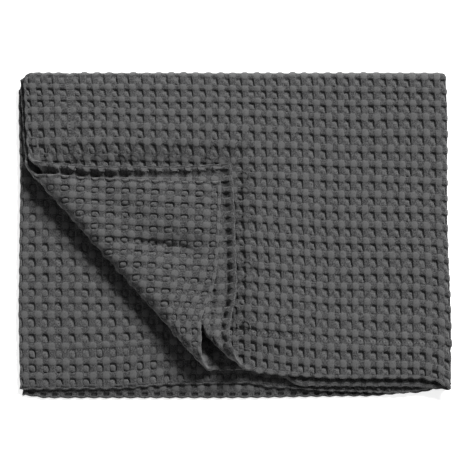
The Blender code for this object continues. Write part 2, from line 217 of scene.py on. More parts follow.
# How far the rows are shifted near the far fold, by v, and the columns near the left hem, by u
ROW_SHIFT = ((0.325, 0.0), (0.345, -0.003), (0.360, -0.006), (0.400, 0.0))
COLUMN_SHIFT = ((0.0, -0.0075), (0.050, -0.0075), (0.066, -0.0045), (0.260, 0.0))
LINE_WANDER = 0.00060      # how far each row or column strays
FIELD_WANDER = 0.0014      # the broad, slow drift of the weave
DRIFT_WAVE_COUNT = 9       # how many waves make up that drift
DRIFT_SPEED = 60.0         # how fast they run along u and v at most, in radians for each metre
DRIFT_CALM = 0.012         # the weave strays less, nearer an edge than this
UNEVEN_FLOATS = 0.22       # share by which floats and cells differ in height and depth
FLOAT_LIMITS = (0.5, 1.4)
CELL_LIMITS = (0.5, 1.3)
UNEVEN_KNOTS = 0.030       # how far a knot strays in its cell, as a share of the cell
KNOT_LIMITS = (-0.06, 0.06)

# Where the relief needs a row of points over one cell: across it, and along it
FINE = ((0.0, 0.12, 0.20, 0.24, 0.28, 0.33, 0.40, 0.47, 0.54, 0.61, 0.67, 0.72, 0.76, 0.80, 0.88),
        (0.0, 0.12, 0.175, 0.215, 0.255, 0.31, 0.39, 0.47, 0.55, 0.63, 0.69, 0.73, 0.77, 0.81, 0.88))
MIDDLING = ((0.0, 0.12, 0.20, 0.24, 0.29, 0.40, 0.50, 0.60, 0.71, 0.76, 0.80, 0.88),
            (0.0, 0.12, 0.175, 0.22, 0.27, 0.38, 0.50, 0.62, 0.73, 0.78, 0.825, 0.88))
PLAIN = ((0.0, 0.20, 0.50, 0.80), (0.0, 0.20, 0.50, 0.80))
JOIN_STEP = 0.0017         # about one such row
LEAST_STEP = 0.0004        # rows are never closer to a panel's border than this
EDGE_LINES = (0.0004, 0.0012, 0.0022, 0.0033, 0.0050)  # the extra rows inside a hem's rounded edge


def ease(share):
    """0 up to a share of 0, rising smoothly to 1 at a share of 1."""
    share = np.clip(share, 0.0, 1.0)
    return share * share * (3 - 2 * share)


def smooth_table(table, at):
    """The second column of a table at the places given, eased from each row to the next."""
    place, value = np.array(table).T
    row = np.clip(np.searchsorted(place, at) - 1, 0, len(place) - 2)
    share = ease((at - place[row]) / (place[row + 1] - place[row]))
    return value[row] + share * (value[row + 1] - value[row])


def fade(distance, reach):
    """1 at no distance, falling smoothly to 0 at the reach and beyond."""
    return ease(1 - distance / reach)


def rise(value, low, high):
    """0 up to the low value, rising smoothly to 1 at the high one."""
    return ease((value - low) / (high - low))


def folded(at, straight, half_turn):
    """How far a place comes to lie from where a fold begins to bend, and how far round it has turned."""
    angle = np.clip((at - straight) / (2 * half_turn), 0.0, 1.0) * math.pi
    over = np.clip(at - straight - 2 * half_turn, 0.0, None)
    return np.minimum(at - straight, 0.0) - over, angle


def by_layer(tables, at, is_front, is_upper):
    """One value from the four layers' tables, blended round the folds that join them."""
    upper = smooth_table(tables["top"], at) * is_front + smooth_table(tables["second"], at) * (1 - is_front)
    lower = smooth_table(tables["fourth"], at) * is_front + smooth_table(tables["third"], at) * (1 - is_front)
    return upper * is_upper + lower * (1 - is_upper)


def quarter_fold(u, v):
    """The cloth folded in quarters, before its corner is turned."""
    from_bend, side = folded(u, SIDE_STRAIGHT, HALF_SIDE_TURN)
    x = SIDE_FOLD_X + from_bend + SIDE_FOLD_RADIUS * np.sin(side)
    from_bend, far = folded(v, FAR_STRAIGHT, HALF_FAR_TURN)
    y = FAR_FOLD_Y + from_bend
    height_in_pair = SIDE_FOLD_RADIUS * np.cos(side)
    is_front = (1 + np.cos(side)) / 2
    is_upper = (1 + np.cos(far)) / 2
    from_side_fold = np.clip((SIDE_FOLD_X - x) / SIDE_STRAIGHT, 0.0, 1.0)
    from_far_fold = np.clip((FAR_FOLD_Y - y) / FAR_STRAIGHT, 0.0, 1.0)
    left_shift = by_layer(LEFT_HEM_SHIFT, y, is_front, is_upper) * from_side_fold ** HEM_SHIFT_FADE
    near_shift = by_layer(NEAR_HEM_SHIFT, x, is_front, is_upper) * from_far_fold ** HEM_SHIFT_FADE
    wander = SIDE_FOLD_WANDER * np.sin(SIDE_FOLD_WAVES * 2 * math.pi * from_far_fold)
    out = FAR_FOLD_RADIUS + height_in_pair
    z = STACK_MIDDLE + out * np.cos(far)
    on_top = is_front * is_upper
    z = z + on_top * GAPE_HEIGHT * smooth_table(GAPE_SHAPE, x) * fade(v, GAPE_DEPTH)
    puff = np.prod([np.sin(along_x * x + along_y * y) for along_x, along_y in PUFF_WAVES], axis=0)
    z = z + on_top * TOP_PUFF * puff * fade(-y, PUFF_FADE)
    tuck = FOLD_END_TUCK * np.sin(far) ** 2 * from_side_fold ** FOLD_END_POWER
    x = x + left_shift + wander * (1 - from_side_fold) + tuck
    y = y + near_shift + out * np.sin(far)
    return x, y, z


def turn_frame(layer):
    """The roll's line on a layer: its start, its direction, and the way out to the corner."""
    start, end = (np.array(point) for point in TURN_LINE[layer])
    length = np.linalg.norm(end - start)
    along = (end - start) / length
    outward = np.array((along[1], -along[0]))
    return start, along, outward, length


def roll_loft(along_share):
    """How high the flap stands at its roll, from the roll's left end to its near end."""
    return smooth_table(ROLL_LOFT, along_share)


def roll_radius(layer, along_share):
    """The roll's radius: it takes the layer from its level to where its flap lies."""
    lift = (LAYER_PITCH if layer == "top" else 3 * LAYER_PITCH) + roll_loft(along_share)
    return lift / 2


def roll_place(layer, x, y):
    """Place along a layer's roll, in metres and as a share of it, and distance out past its line."""
    start, along, outward, length = turn_frame(layer)
    run = (x - start[0]) * along[0] + (y - start[1]) * along[1]
    return run, run / length, (x - start[0]) * outward[0] + (y - start[1]) * outward[1]


def flap_rise(x, y):
    """How much the flap stands above its level of rest, over the place given."""
    along_share, out = roll_place("top", x, y)[1:]
    inside = np.clip(-out - roll_radius("top", along_share), 0.0, None)
    lofted = roll_loft(along_share) * fade(inside, LOFT_FADE)
    corner_x, corner_y = TURNED_CORNER["top"]
    swell = rise(np.minimum(corner_x - x, corner_y - y), 0.0, FLAP_EDGE_FADE)
    swell = swell * (1 - fade(inside, 2 * LOFT_FADE))
    trough = smooth_table(TROUGH_ACROSS, x) * smooth_table(TROUGH_ALONG, y)
    return lofted + FLAP_SWELL * swell * (1 - trough)


def turned_corner(layer, x, y, z):
    """The layer's corner turned up about its roll and laid back over the blanket."""
    def on_line(px, py):
        """Place along the roll, distance out past where the roll begins, and its radius."""
        run, along_share, out = roll_place(layer, px, py)
        radius = roll_radius(layer, along_share)
        return run, out + radius + THICKNESS / 2, radius

    start, along, outward = turn_frame(layer)[:3]
    corner = quarter_fold(*np.array(((0.0 if layer == "top" else CLOTH_WIDTH,), (0.0,))))
    corner_run, corner_past, corner_radius = (float(part[0]) for part in on_line(corner[0], corner[1]))
    goal_run, goal_past = on_line(*TURNED_CORNER[layer])[:2]
    slide = (goal_run - corner_run) / corner_past
    stretch = -goal_past / (corner_past - math.pi * corner_radius)

    run, past, radius = on_line(x, y)
    angle = np.clip(past / radius, 0.0, math.pi)
    back = np.clip(past - math.pi * radius, 0.0, None) * stretch
    out = radius * np.sin(angle) - back
    slid = slide * np.clip(past, 0.0, None)
    begin = np.minimum(past, 0.0) - radius - THICKNESS / 2 + out
    turned_x = start[0] + (run + slid) * along[0] + begin * outward[0]
    turned_y = start[1] + (run + slid) * along[1] + begin * outward[1]
    level = TOP_LEVEL + LAYER_PITCH if layer == "top" else TOP_LEVEL + 2 * LAYER_PITCH
    up = (1 - np.cos(angle)) / 2
    turned_z = z + (level + flap_rise(turned_x, turned_y) - z) * up
    is_turned = past > 0.0
    return (np.where(is_turned, turned_x, x), np.where(is_turned, turned_y, y),
            np.where(is_turned, turned_z, z), np.where(is_turned, angle / math.pi, 0.0))


def droop(layer, y, v, turned):
    """The near hem's sideways droop beside the roll, as a shift along X."""
    far, about, span = HEM_DROOP[layer]
    return -far * turned ** 2 * np.exp(-((y - about) / span) ** 2) * fade(v, DROOP_DEPTH)


def lay(u, v):
    """Where the middle of the cloth's thickness lies, for each point of the flat cloth."""
    x, y, z = quarter_fold(u, v)
    for layer, is_layer in (("top", u < SIDE_FOLD_AT), ("second", u >= SIDE_FOLD_AT)):
        tx, ty, tz, turned = turned_corner(layer, x, y, z)
        tx = tx + droop(layer, ty, v, turned)
        here = is_layer & (v < FAR_STRAIGHT) & (turned > 0.0)
        x, y, z = np.where(here, tx, x), np.where(here, ty, y), np.where(here, tz, z)
    return np.stack((x - FOOTPRINT_MIDDLE[0], y - FOOTPRINT_MIDDLE[1], z), axis=-1)


def settle(u, v):
    """The cloth laid in its folds, with how it sags and curls where the flap lies on it."""
    place = lay(u, v)
    x, y = place[..., 0], place[..., 1]
    on_top = (u < SIDE_FOLD_AT) & (v < FAR_STRAIGHT)
    is_flap = on_top & (place[..., 2] > FLAP_ABOVE)
    from_flap = np.maximum(x - FLAP_CORNER[0], y - FLAP_CORNER[1])
    ridge = smooth_table(FLAP_RIDGE, from_flap) * rise(y, *RIDGE_ALONG)
    ridge = ridge * rise(-np.abs(x), -RIDGE_ENDS[1], -RIDGE_ENDS[0])
    curl = smooth_table(EDGE_CURL, np.maximum(u, v)) * (1 - rise(np.minimum(u, v), CURL_FLAT, CURL_REACH))
    place[..., 2] += np.where(is_flap, curl, np.where(on_top, ridge, 0.0))
    place[..., 2] -= flap_dent(x, y) * (place[..., 2] > FLAP_ABOVE)
    place[..., 2] -= near_hem_dip(u, v, x, place[..., 2])
    place[..., 0] += np.where(is_flap, EDGE_OUT * fade(v, EDGE_OUT_REACH), 0.0)
    place[..., 1] += np.where(is_flap, EDGE_OUT * fade(u, EDGE_OUT_REACH), 0.0)
    return place


def flap_dent(x, y):
    """How deep the flap is dented below its crease."""
    below = smooth_table(CREASE, x) - y
    return smooth_table(DENT, x) * rise(below, 0.0, DENT_STEP) * (1 - rise(below, DENT_STEP, DENT_REACH))


def near_hem_dip(u, v, x, z):
    """How far the near hems sag onto each other, away from the roll and the side fold."""
    on_front, on_upper = u < SIDE_FOLD_AT, v < FAR_STRAIGHT
    from_near = np.minimum(v, CLOTH_LENGTH - v)
    sag = np.where(on_front & on_upper, HEM_SAG["top"] * rise(x, *TOP_SAG_STARTS), 0.0)
    sag = np.where(~on_front & ~on_upper, HEM_SAG["third"], sag)
    dip = np.where(~on_front & on_upper, SECOND_HEM_DIP * rise(x, *SECOND_DIP_STARTS), 0.0)
    down = dip * fade(from_near, SECOND_HEM_DIP_DEPTH) + sag * fade(from_near, HEM_SAG_DEPTH)
    down = down * rise(-x, -SAG_ENDS[1], -SAG_ENDS[0])
    return np.where(z < FLAP_ABOVE, down, 0.0)


def cloth_normals(u, v, step=2e-4):
    """The way the cloth's right side faces, at each point of the flat cloth."""
    inside_u = np.clip(u, step, CLOTH_WIDTH - step)
    inside_v = np.clip(v, step, CLOTH_LENGTH - step)
    across = settle(inside_u + step, inside_v) - settle(inside_u - step, inside_v)
    along = settle(inside_u, inside_v + step) - settle(inside_u, inside_v - step)
    normal = np.cross(across, along)
    return normal / np.linalg.norm(normal, axis=-1, keepdims=True)


# ---- The weave's relief --------------------------------------------------------------------
CELLS_ACROSS = int(CLOTH_WIDTH / CELL_WIDTH) + 3
CELLS_ALONG = int(CLOTH_LENGTH / CELL_LENGTH) + 3
luck = np.random.default_rng(SEED)
COLUMN_STRAY = luck.normal(0.0, LINE_WANDER, CELLS_ACROSS)
ROW_STRAY = luck.normal(0.0, LINE_WANDER, CELLS_ALONG)
FLOAT_LUCK = luck.normal(1.0, UNEVEN_FLOATS, (CELLS_ACROSS, CELLS_ALONG)).clip(*FLOAT_LIMITS)
CELL_LUCK = luck.normal(1.0, UNEVEN_FLOATS, (CELLS_ACROSS, CELLS_ALONG)).clip(*CELL_LIMITS)
KNOT_LUCK = luck.normal(0.0, UNEVEN_KNOTS, (2, CELLS_ACROSS, CELLS_ALONG)).clip(*KNOT_LIMITS)
DRIFT_WAVES = luck.uniform(-1.0, 1.0, (2, DRIFT_WAVE_COUNT, 4)) * (DRIFT_SPEED, DRIFT_SPEED, math.pi, 1.0)


def cell_place(u, v):
    """The place counted in cells, with a float's middle at each whole number."""
    phase = SECOND_PHASE * rise(u, *PHASE_TURN)
    return (u - FIRST_FLOAT_U + phase) / CELL_WIDTH, (v - FIRST_FLOAT_V) / CELL_LENGTH


def weave_drift(u, v):
    """How far the weave has strayed from a true grid, along u and along v."""
    across, along = cell_place(u, v)
    shifts = []
    for waves, stray, place in zip(DRIFT_WAVES, (COLUMN_STRAY, ROW_STRAY), (across, along)):
        field = sum(share * np.sin(fu * u + fv * v + phase) for fu, fv, phase, share in waves)
        field = field * FIELD_WANDER / math.sqrt(DRIFT_WAVE_COUNT)
        shifts.append(field + np.interp(place, np.arange(len(stray)), stray))
    calm_u = rise(np.minimum(u, CLOTH_WIDTH - u), 0.0, DRIFT_CALM)
    calm_v = rise(np.minimum(v, CLOTH_LENGTH - v), 0.0, DRIFT_CALM)
    shifts[0] = shifts[0] + smooth_table(COLUMN_SHIFT, u)
    shifts[0] = shifts[0] + np.interp(u, *zip(*THIRD_STRETCH)) * rise(v, *THIRD_STRETCH_TURN)
    shifts[1] = shifts[1] + smooth_table(ROW_LEAN, v) * smooth_table(LEAN_ACROSS, u)
    shifts[1] = shifts[1] + smooth_table(ROW_SHIFT, v)
    out_u = fade(CLOTH_WIDTH - u, SCALLOP_REACH) - fade(u, SCALLOP_REACH)
    out_v = fade(CLOTH_LENGTH - v, SCALLOP_REACH) - fade(v, SCALLOP_REACH)
    scallop_u = SCALLOP * np.cos(2 * math.pi * along) * out_u
    scallop_v = SCALLOP * np.cos(2 * math.pi * across) * out_v
    return shifts[0] * calm_u + scallop_u, shifts[1] * calm_v + scallop_v


def dome(u_share, v_share, square=FLOAT_SQUARE, flat=2.0):
    """A rounded crown, 1 in the middle and 0 where the shares reach 1."""
    reach = (np.abs(u_share) ** square + np.abs(v_share) ** square) ** (1 / square)
    return np.sqrt(np.clip(1 - reach ** flat, 0.0, 1.0))


def knot_pull(u, v):
    """How far the knots lie off the middle of their cells, in cells: each layer is pulled its own way."""
    is_front, is_upper = u < SIDE_FOLD_AT, v < FAR_FOLD_AT
    in_low_hem = rise(v, CLOTH_LENGTH - HEM_LENGTH - CELL_LENGTH / 2, CLOTH_LENGTH - HEM_LENGTH)
    on_third = np.where(is_front, 0.0, 1.0 - LOW_HEM_PULL_LESS * in_low_hem)
    side = np.where(is_upper, np.where(is_front, -1.0, 0.0), on_third)
    return KNOT_PULL[0] * side, KNOT_PULL[1] * side


def cell_depth(u, v):
    """How deep the cells are, beside a plain one: shallow on layer 3, deep beside the flap and along
    its crease."""
    on_top, on_third = (u < SIDE_FOLD_AT) & (v < FAR_FOLD_AT), (u > SIDE_FOLD_AT) & (v > FAR_FOLD_AT)
    from_flap = np.maximum(u - FLAP_CORNER[0] - CLOTH_WIDTH / 4, v - FLAP_CORNER[1] - CLOTH_LENGTH / 4)
    deeper = 1 + NEAR_FLAP_DEEPER * fade(np.abs(from_flap - NEAR_FLAP), 2 * NEAR_FLAP)
    along_crease = rise(v, *CREASE_SPAN[:2]) * (1 - rise(v, *CREASE_SPAN[2:]))
    crease = 1 + CREASE_DEEPER * along_crease * fade(np.abs(u - CREASE_ROW[0]), CREASE_ROW[1])
    return np.where(on_third, THIRD_SHARE, np.where(on_top, deeper, crease))


def by_weave(sizes, u, v):
    """The sizes of the layer that each point is in: the top and fourth, the second, or the third."""
    layer = np.where(u < SIDE_FOLD_AT, 0, np.where(v < FAR_FOLD_AT, 1, 2))
    across, along = np.array(sizes)[layer].T
    return across, along


def weave_height(u, v, knots=1.0, length=1.0):
    """The right side's relief over the plain face, with knots and cells at a share of their size."""
    across, along = cell_place(u, v)
    on_top = (u < SIDE_FOLD_AT) & (v < FAR_FOLD_AT)
    cell_square, knot_square = np.where(on_top, *CELL_SQUARE), np.where(on_top, *KNOT_SQUARE)
    float_u, float_v = np.round(across).astype(int), np.round(along).astype(int)
    crown = dome((across - float_u) / FLOAT_HALF[0], (along - float_v) / FLOAT_HALF[1])
    crown = crown * FLOAT_LUCK[float_u.clip(0, CELLS_ACROSS - 1), float_v.clip(0, CELLS_ALONG - 1)]
    cell_u, cell_v = np.floor(across).astype(int), np.floor(along).astype(int)
    in_cell_u, in_cell_v = across - cell_u - 0.5, along - cell_v - 0.5
    in_cell_u = in_cell_u + CELL_SKEW * in_cell_v
    cell_u, cell_v = cell_u.clip(0, CELLS_ACROSS - 1), cell_v.clip(0, CELLS_ALONG - 1)
    cell_half, knot_half = by_weave(CELL_HALF, u, v), by_weave(KNOT_HALF, u, v)
    outward_u, outward_v = np.abs(in_cell_u / cell_half[0]), np.abs(in_cell_v / cell_half[1] / length)
    outward = (outward_u ** cell_square + outward_v ** cell_square) ** (1 / cell_square)
    sunk = 1 - rise(outward, WALL_START, WALL_END)
    sunk = sunk * CELL_LUCK[cell_u, cell_v] * cell_depth(u, v)
    pull_u, pull_v = knot_pull(u, v)
    knot = dome((in_cell_u - pull_u - KNOT_LUCK[0][cell_u, cell_v]) / knot_half[0],
                (in_cell_v - pull_v - KNOT_LUCK[1][cell_u, cell_v]) / knot_half[1], knot_square, KNOT_FLAT)
    return FLOAT_RISE * crown - sunk * (CELL_SINK - KNOT_RISE * knot * knots)


def edge_distance(u, v):
    """How far each point is from the cloth's nearest edge."""
    return np.minimum(np.minimum(u, CLOTH_WIDTH - u), np.minimum(v, CLOTH_LENGTH - v))


def from_left_hem(u):
    """How far each point is from the left hem's edge, counted so that its stitches lie at one width."""
    return np.minimum(u, (CLOTH_WIDTH - u) * HEM_WIDTH / SECOND_HEM_WIDTH)


def hem_place(u, v):
    """How far each point lies from the edge, counted so that the hem's stitches lie at 1."""
    return np.minimum(from_left_hem(u) / HEM_WIDTH, np.minimum(v, CLOTH_LENGTH - v) / HEM_LENGTH)


def face_height(u, v, relief, calm=BEAD_WIDTH, taper=EDGE_ROUND):
    """How far a side of the cloth stands from its middle; near an edge it is calm, and thinner."""
    distance = edge_distance(u, v)
    hem = hem_place(u, v)
    in_hem = 1 - rise(hem, *HEM_STEP)
    from_stitches = np.abs(hem - 1.0) * HEM_LENGTH
    flattened = -STITCH_FLATTER * fade(from_stitches, STITCH_FLAT)
    flattened = flattened - HEM_FLAT * rise(hem, *HEM_FLAT_FROM) * in_hem
    beside = rise(hem, *BESIDE_HEM[:2]) * (1 - rise(hem, *BESIDE_HEM[2:]))
    flattened = flattened + BESIDE_HEM_DEEPER * beside
    at_second_hem = (CLOTH_WIDTH - u) / SECOND_HEM_WIDTH < np.minimum(v, CLOTH_LENGTH - v) / HEM_LENGTH
    flattened = 1 + flattened * np.where(at_second_hem & (u > SIDE_FOLD_AT), SECOND_HEM_FLAT, 1.0)
    relief = relief * (1 - HEM_SHALLOW * in_hem) * flattened * rise(distance, 0.0, calm)
    relief = np.where(relief > 0, relief * rise(distance, 0.0, EDGE_CALM), relief)
    relief = relief - STITCH_DIP * fade(from_stitches, STITCH_WIDTH) + EDGE_BEAD * fade(distance, BEAD_WIDTH)
    rounding = np.sqrt(1 - (1 - np.clip(distance / taper, 0.0, 1.0)) ** 2)
    return (THICKNESS / 2 + relief) * (EDGE_THINNEST + (1 - EDGE_THINNEST) * rounding)


def right_side(u, v, from_edge):
    """The right side's height over the middle of the cloth, its place in the weave, and the share of
    their size that its knots and its cells have. It has no lip."""
    return face_height(u, v, weave_height(u, v)), cell_place(u, v), (np.ones_like(u), np.ones_like(u))


def wrong_side(u, v, from_edge):
    """The same for the wrong side, where the cells lie between those of the right side."""
    from_left, from_near = from_left_hem(u), np.minimum(v, CLOTH_LENGTH - v)
    mitre = from_left / HEM_WIDTH - from_near / HEM_LENGTH
    in_left_hem = (from_left < HEM_WIDTH) & (mitre < 0)
    left_shift = np.where(u < SIDE_FOLD_AT, LEFT_HEM_SHIFT_CELLS, 0.0)
    across = u + CELL_WIDTH * np.where(in_left_hem, left_shift, 0.5)
    in_near_hem = (from_near < HEM_LENGTH) & (mitre >= 0)
    on_top = (u < SIDE_FOLD_AT) & (v < FAR_FOLD_AT)
    layer = np.where(on_top, 0, np.where(v < CLOTH_LENGTH / 2, 1, 2))
    toward_edge = np.array(HEM_CELL_SHIFT)[layer] * np.where(layer == 2, -1, 1)
    along = v + CELL_LENGTH * np.where(in_near_hem, toward_edge, 0.5)
    knots = np.where(in_near_hem, HEM_KNOTS, np.where(on_top & (hem_place(u, v) < 1.0), LEFT_HEM_KNOTS, 1.0))
    length = np.where(in_near_hem, np.array(HEM_CELL_SHARE)[layer], 1.0)
    relief = WRONG_SHARE * weave_height(across, along, knots, length)
    relief = relief * np.where(in_near_hem, np.array(HEM_CELL_DEPTH)[layer], 1.0)
    relief = relief * np.where(on_top, rise(from_edge, LIP, CURL_FLAT + EDGE_ROUND / 2), 1.0)
    taper = np.where(in_near_hem, np.array(HEM_TAPER)[layer], EDGE_ROUND)
    height = face_height(u, v, relief, BEAD_WIDTH / 4, taper)
    seam = fade(np.abs(mitre) * HEM_LENGTH, MITRE_WIDTH) * (hem_place(u, v) < 1.0)
    return height - MITRE_DIP * seam, cell_place(across, along), (knots, length)


# ---- The panels ----------------------------------------------------------------------------
def grid_lines(span, size, cell, first, shares):
    """Grid lines at the given shares of every cell of a span, and more inside a hem's rounded edge."""
    start, end = span
    count = int((end - start) / cell) + 3
    begin = math.floor((start - first) / cell)
    lines = [first + (begin + index + share) * cell for index in range(count) for share in shares]
    lines = [line for line in lines if start + LEAST_STEP < line < end - LEAST_STEP] + [start, end]
    if start == 0.0:
        lines += EDGE_LINES
    if end == size:
        lines += [size - line for line in EDGE_LINES]
    return np.unique(lines)


def border(rows, columns):
    """A grid's border points in order, as (row, column), counter-clockwise from its first corner."""
    around = [(0, column) for column in range(columns - 1)]
    around += [(row, columns - 1) for row in range(rows - 1)]
    around += [(rows - 1, column) for column in range(columns - 1, 0, -1)]
    around += [(row, 0) for row in range(rows - 1, 0, -1)]
    return around


def side_points(u_lines, v_lines, side, sign):
    """One side's points on a grid of lines, which way it faces at each, and their marks on the cloth:
    their place in the weave, counted in cells, how far they are from the hems' edges, and the share
    of their size that the knots and the cells have there.

    The lines go one step past the panel's border, so that two panels face alike where they meet."""
    wide_u, wide_v = (
        np.concatenate(([lines[0] - JOIN_STEP], lines, [lines[-1] + JOIN_STEP])).clip(0.0, size)
        for lines, size in ((u_lines, CLOTH_WIDTH), (v_lines, CLOTH_LENGTH)))
    u, v = (grid.ravel() for grid in np.meshgrid(wide_u, wide_v))
    drift_u, drift_v = weave_drift(u, v)
    laid_u, laid_v = u + drift_u, v + drift_v
    height, weave, shares = side(u, v, edge_distance(laid_u, laid_v))
    place = settle(laid_u, laid_v) + sign * cloth_normals(laid_u, laid_v) * height[:, None]
    # Its weight presses the weave flat on the floor, and no pit goes right through it
    place[:, 2] = np.maximum(place[:, 2], 0.0 if sign > 0 else LEAST_THICKNESS)
    place = place.reshape(len(wide_v), len(wide_u), 3)
    marks = np.stack((*weave, from_left_hem(u), np.minimum(v, CLOTH_LENGTH - v), *shares), axis=-1)
    marks = marks.reshape(len(wide_v), len(wide_u), 6)
    facing = sign * np.cross(place[1:-1, 2:] - place[1:-1, :-2], place[2:, 1:-1] - place[:-2, 1:-1])
    facing = facing / np.linalg.norm(facing, axis=-1, keepdims=True)
    return place[1:-1, 1:-1].reshape(-1, 3), facing.reshape(-1, 3), marks[1:-1, 1:-1].reshape(-1, 6)


def panel_mesh(name, u_span, v_span, right_detail, wrong_detail):
    """A panel's two sides and its closed rim as one mesh, with its marks on the cloth as UV."""
    first = FIRST_FLOAT_U - (SECOND_PHASE if u_span[0] >= PHASE_TURN[1] else 0.0)
    points, flats, faces, facings = [], [], [], []
    borders = []
    start = 0
    for detail, side, sign in ((right_detail, right_side, 1.0), (wrong_detail, wrong_side, -1.0)):
        u_lines = grid_lines(u_span, CLOTH_WIDTH, CELL_WIDTH, first, detail[0])
        v_lines = grid_lines(v_span, CLOTH_LENGTH, CELL_LENGTH, FIRST_FLOAT_V, detail[1])
        place, facing, marks = side_points(u_lines, v_lines, side, sign)
        rows, columns = len(v_lines), len(u_lines)
        index = start + np.arange(rows * columns).reshape(rows, columns)
        quads = np.stack((index[:-1, :-1], index[:-1, 1:], index[1:, 1:], index[1:, :-1]), axis=-1)
        quads = quads.reshape(-1, 4)
        faces.append(quads if sign > 0 else quads[:, ::-1])
        loop = [(index[row, column], u_lines[column], v_lines[row]) for row, column in border(rows, columns)]
        borders.append(loop)
        points.append(place)
        facings.append(facing)
        flats.append(marks)
        start += rows * columns
    rim = rim_faces(*borders)
    points, flats = np.concatenate(points), np.concatenate(flats)
    mesh = bpy.data.meshes.new(name)
    mesh.from_pydata(points.tolist(), [], np.concatenate(faces).tolist() + rim)
    mesh.polygons.foreach_set("use_smooth", [True] * (len(mesh.polygons) - len(rim)) + [False] * len(rim))
    corners = np.empty(len(mesh.loops), dtype=np.int32)
    mesh.loops.foreach_get("vertex_index", corners)
    for marked, columns in (("weave", slice(0, 2)), ("hems", slice(2, 4)), ("shares", slice(4, 6))):
        layer = mesh.uv_layers.new(name=marked)
        layer.data.foreach_set("uv", flats[corners, columns].astype(np.float32).ravel())
    normals = np.concatenate(facings)[corners]
    # The rim comes after the sides' quads, and keeps its own flat normals
    normals[4 * (len(mesh.polygons) - len(rim)):] = 0.0
    mesh.normals_split_custom_set(normals.tolist())
    return mesh


def rim_faces(right, wrong):
    """Faces between the two sides' borders, from each place that both have to the next."""
    def key(corner):
        return round(corner[1], 6), round(corner[2], 6)

    def runs_between(loop, shared):
        runs, run = [], [int(loop[0][0])]
        for corner in loop[1:] + loop[:1]:
            run.append(int(corner[0]))
            if key(corner) in shared:
                runs.append(run)
                run = [int(corner[0])]
        return runs

    shared = {key(corner) for corner in right} & {key(corner) for corner in wrong}
    pairs = zip(runs_between(right, shared), runs_between(wrong, shared))
    return [wrong_run + right_run[::-1] for right_run, wrong_run in pairs]


# ---- Materials -----------------------------------------------------------------------------
YARN_DARK = (0.012, 0.012, 0.013, 1.0)
YARN_LIGHT = (0.098, 0.098, 0.0985, 1.0)
# How light each place is, from the dark colour (0) to the light one (1)
PLAIN_LIGHT = 0.825
FLOAT_LIGHTER = 0.14
KNOT_LIGHTER = 0.10
GROOVE_PAINTED_SHADE = 0.35       # painted shade in the groove round a knot, where its walls would shade it
PATCH_CONTRAST = 0.40      # slow changes from place to place
SPECKS_DARKER = 1.30       # the dark specks between the fibres
HAIRS_DARKER = 1.0         # the shadows of stray hairs
THREAD_LIGHTER = 0.30      # the hem's sewing thread
HOLES_DARKER = 0.80        # where that thread goes into the cloth
KNOT_SMOOTH = 0.6          # how smooth a knot's yarn is, beside a float's
LESS_FUZZ = 0.75           # how much less fuzz a float has than the rest
# Where the edges of the floats, the knots and the specks are drawn, from outside to inside
FLOAT_EDGE = (1.05, 0.80)
KNOT_EDGE = (1.20, 0.85)
SPECK_EDGE = (0.54, 0.38)
HAIR_WIDTH = 0.045
DRAWN_CELL_SQUARE = 4.0    # how square the cells and knots are drawn
DRAWN_KNOT_SQUARE = 3.6
# How fine the fuzz, the hairs and the patches are, and how high each stands in the fine relief
FUZZ_SCALE = 750.0
HAIR_SCALE = 330.0
PATCH_SCALE = 220.0
FUZZ_RELIEF = 1.2
PATCH_RELIEF = 0.6
YARN_RELIEF = 0.12
SEWING_RELIEF = 1.0
YARNS_ACROSS = 13          # how many yarns lie side by side in a cell
YARNS_ALONG = 15
RELIEF_STRENGTH = 0.55
RELIEF_DEPTH = 0.0005
COTTON_LOOKS = {"Roughness": 0.95, "Sheen Weight": 0.25, "Sheen Roughness": 0.6, "Specular IOR Level": 0.2}
FLOOR_LOOKS = {"Roughness": 0.8, "Emission Color": (1.0, 1.0, 1.0, 1.0), "Emission Strength": 0.72}
FLOOR_TONES = ((0.86, 0.86, 0.86, 1.0), (0.90, 0.90, 0.90, 1.0))


class Nodes:
    """Short calls for a node tree's maths."""

    def __init__(self, tree):
        self.tree = tree

    def add(self, kind, **settings):
        node = self.tree.nodes.new(kind)
        for name, value in settings.items():
            setattr(node, name, value)
        return node

    def put(self, value, socket):
        if isinstance(value, bpy.types.NodeSocket):
            self.tree.links.new(value, socket)
        else:
            socket.default_value = value

    def math(self, operation, *values):
        node = self.add("ShaderNodeMath", operation=operation)
        for value, socket in zip(values, node.inputs):
            self.put(value, socket)
        return node.outputs[0]

    def weigh(self, total, *terms):
        """The total with each part added at its weight."""
        for part, weight in terms:
            total = self.math("MULTIPLY_ADD", part, weight, total)
        return total

    def rise(self, value, low, high):
        node = self.add("ShaderNodeMapRange", interpolation_type="SMOOTHSTEP", clamp=True)
        self.put(value, node.inputs["Value"])
        self.put(low, node.inputs["From Min"])
        self.put(high, node.inputs["From Max"])
        return node.outputs["Result"]

    def outward(self, u, v, power):
        """How far out a place lies, measured so that equal distances make rounded squares."""
        across = self.math("POWER", self.math("ABSOLUTE", u), power)
        along = self.math("POWER", self.math("ABSOLUTE", v), power)
        return self.math("POWER", self.math("ADD", across, along), 1 / power)

    def mix(self, share, low, high):
        node = self.add("ShaderNodeMix", data_type="RGBA")
        self.put(share, node.inputs["Factor"])
        self.put(low, node.inputs[6])
        self.put(high, node.inputs[7])
        return node.outputs[2]

    def noise(self, vector, scale, detail=2.0, roughness=0.5, distortion=0.0):
        node = self.add("ShaderNodeTexNoise")
        for name, value in (("Vector", vector), ("Scale", scale), ("Detail", detail),
                            ("Roughness", roughness), ("Distortion", distortion)):
            self.put(value, node.inputs[name])
        return node.outputs["Fac"]

    def split(self, vector):
        """A vector's first two parts."""
        node = self.add("ShaderNodeSeparateXYZ")
        self.put(vector, node.inputs[0])
        return node.outputs["X"], node.outputs["Y"]


